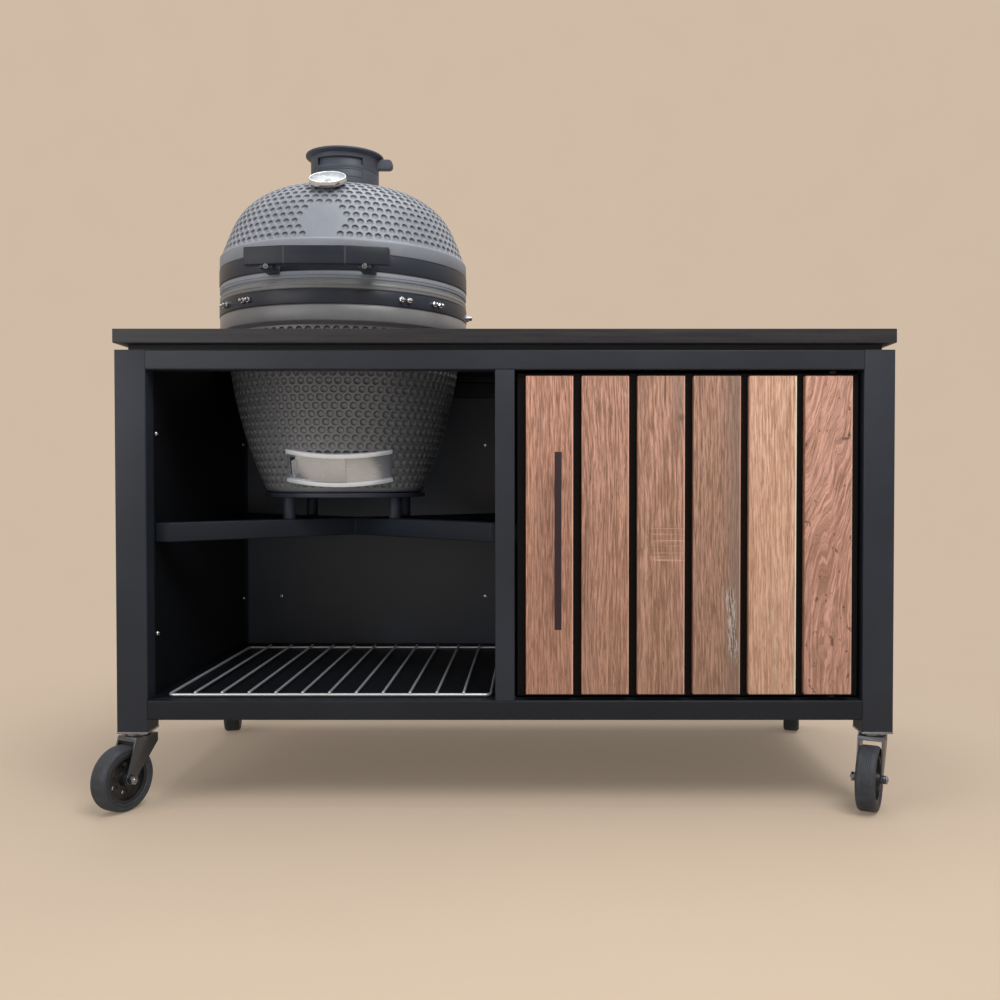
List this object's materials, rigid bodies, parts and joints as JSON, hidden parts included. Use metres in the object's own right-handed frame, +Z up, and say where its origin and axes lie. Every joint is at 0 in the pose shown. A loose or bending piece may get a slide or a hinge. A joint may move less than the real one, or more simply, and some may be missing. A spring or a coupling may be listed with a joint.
{
  "type": "outdoor kitchen unit",
  "caption": "Outdoor kitchen unit on casters: a ceramic charcoal oven with a lift-up dome set in a steel cabinet with an open shelf and a slatted wooden door.",
  "frame": {"origin": "on the floor under the middle of the cabinet", "axes": "+X to the right seen from the front, +Y to the back, +Z up"},
  "size_m": [1.5337, 0.7704, 1.3619],
  "materials": {
    "powder_coat": "satin",
    "band_steel": "satin",
    "worktop_slab": "satin",
    "hardwood": "satin",
    "handle_wood": "satin",
    "glazed_ceramic": "satin",
    "fire_clay": "matte",
    "cast_iron": "matte",
    "felt": "matte",
    "chrome_wire": "polished",
    "steel": "brushed",
    "zinc": "satin",
    "black_metal": "satin",
    "needle_paint": "satin",
    "dial_glass": "polished",
    "hub_plastic": "matte",
    "tyre_rubber": "matte"
  },
  "bodies": {
    "cabinet": {"corner_legs": "powder_coat", "top_rails": "powder_coat", "bottom_rails": "powder_coat", "middle_posts": "powder_coat", "cross_brace": "powder_coat", "side_panels": "powder_coat", "back_panel": "powder_coat", "partition_panel": "powder_coat", "floor_panel": "powder_coat", "worktop_spacers": "powder_coat", "lower_band": "band_steel", "hinge_base": "band_steel", "worktop": "worktop_slab", "kamado_bowl": "glazed_ceramic", "fire_box": "fire_clay", "fire_ring": "fire_clay", "charcoal_grate": "cast_iron", "cooking_grate": "cast_iron", "kamado_stand": "cast_iron", "lower_gasket": "felt", "wire_rack": "chrome_wire", "draft_frame": "steel", "band_bolts": "steel", "hinge_pin": "steel", "panel_screws": "steel", "door_pivots": "steel", "caster_plates": "zinc", "door_catch": "black_metal"},
    "lid": {"kamado_dome": "glazed_ceramic", "upper_band": "band_steel", "upper_gasket": "felt", "lid_handle": "handle_wood", "handle_brackets": "steel", "hinge_arm": "band_steel", "vent_chimney": "black_metal", "thermometer_case": "chrome_wire", "thermometer_dial": "dial_glass"},
    "vent_cap": {"vent_cap": "black_metal"},
    "needle": {"thermometer_needle": "needle_paint"},
    "draft": {"draft_door": "steel"},
    "door": {"door_frame": "powder_coat", "door_slat_1": "hardwood", "door_slat_2": "hardwood", "door_slat_3": "hardwood", "door_slat_4": "hardwood", "door_slat_5": "hardwood", "door_slat_6": "hardwood", "door_handle": "black_metal"},
    "fork_front_left": {"caster_fork_front_left": "zinc"},
    "wheel_front_left": {"caster_hub_front_left": "hub_plastic", "caster_tyre_front_left": "tyre_rubber"},
    "fork_front_right": {"caster_fork_front_right": "zinc"},
    "wheel_front_right": {"caster_hub_front_right": "hub_plastic", "caster_tyre_front_right": "tyre_rubber"},
    "fork_rear_left": {"caster_fork_rear_left": "zinc"},
    "wheel_rear_left": {"caster_hub_rear_left": "hub_plastic", "caster_tyre_rear_left": "tyre_rubber"},
    "fork_rear_right": {"caster_fork_rear_right": "zinc"},
    "wheel_rear_right": {"caster_hub_rear_right": "hub_plastic", "caster_tyre_rear_right": "tyre_rubber"}
  },
  "joints": [
    {"name": "door_hinge", "type": "hinge", "parent": "cabinet", "child": "door", "pos_m": [0.638, -0.318, 0.53], "axis": [0, 0, 1], "range_deg": [0, 105]},
    {"name": "lid_hinge", "type": "hinge", "parent": "cabinet", "child": "lid", "pos_m": [-0.3695, 0.305, 1.0363], "axis": [-1, 0, 0], "range_deg": [0, 75]},
    {"name": "vent_turn", "type": "hinge", "parent": "lid", "child": "vent_cap", "pos_m": [-0.3695, 0, 1.34], "axis": [0, 0, 1], "range_deg": [0, 85]},
    {"name": "needle_turn", "type": "hinge", "parent": "lid", "child": "needle", "pos_m": [-0.3695, -0.18856, 1.24768], "axis": [0, -0.5446, 0.8387], "range_deg": [-270, 0]},
    {"name": "draft_slide", "type": "hinge", "parent": "cabinet", "child": "draft", "pos_m": [-0.3695, 0, 0.73557], "axis": [0.0392, -0.3726, 0.9272], "range_deg": [-3.5, 25]},
    {"name": "swivel_front_left", "type": "hinge", "parent": "cabinet", "child": "fork_front_left", "pos_m": [-0.72, -0.32, 0.14], "axis": [0, 0, 1], "continuous": true},
    {"name": "spin_front_left", "type": "hinge", "parent": "fork_front_left", "child": "wheel_front_left", "pos_m": [-0.73754, -0.35595, 0.0625], "axis": [0.8988, -0.4384, 0], "continuous": true},
    {"name": "swivel_front_right", "type": "hinge", "parent": "cabinet", "child": "fork_front_right", "pos_m": [0.72, -0.32, 0.14], "axis": [0, 0, 1], "continuous": true},
    {"name": "spin_front_right", "type": "hinge", "parent": "fork_front_right", "child": "wheel_front_right", "pos_m": [0.70247, -0.35595, 0.0625], "axis": [0.8988, -0.4384, 0], "continuous": true},
    {"name": "swivel_rear_left", "type": "hinge", "parent": "cabinet", "child": "fork_rear_left", "pos_m": [-0.72, 0.32, 0.14], "axis": [0, 0, 1], "continuous": true},
    {"name": "spin_rear_left", "type": "hinge", "parent": "fork_rear_left", "child": "wheel_rear_left", "pos_m": [-0.71168, 0.28087, 0.0625], "axis": [0.9781, 0.2079, 0], "continuous": true},
    {"name": "swivel_rear_right", "type": "hinge", "parent": "cabinet", "child": "fork_rear_right", "pos_m": [0.72, 0.32, 0.14], "axis": [0, 0, 1], "continuous": true},
    {"name": "spin_rear_right", "type": "hinge", "parent": "fork_rear_right", "child": "wheel_rear_right", "pos_m": [0.71032, 0.28119, 0.0625], "axis": [0.9703, -0.2419, 0], "continuous": true}
  ]
}
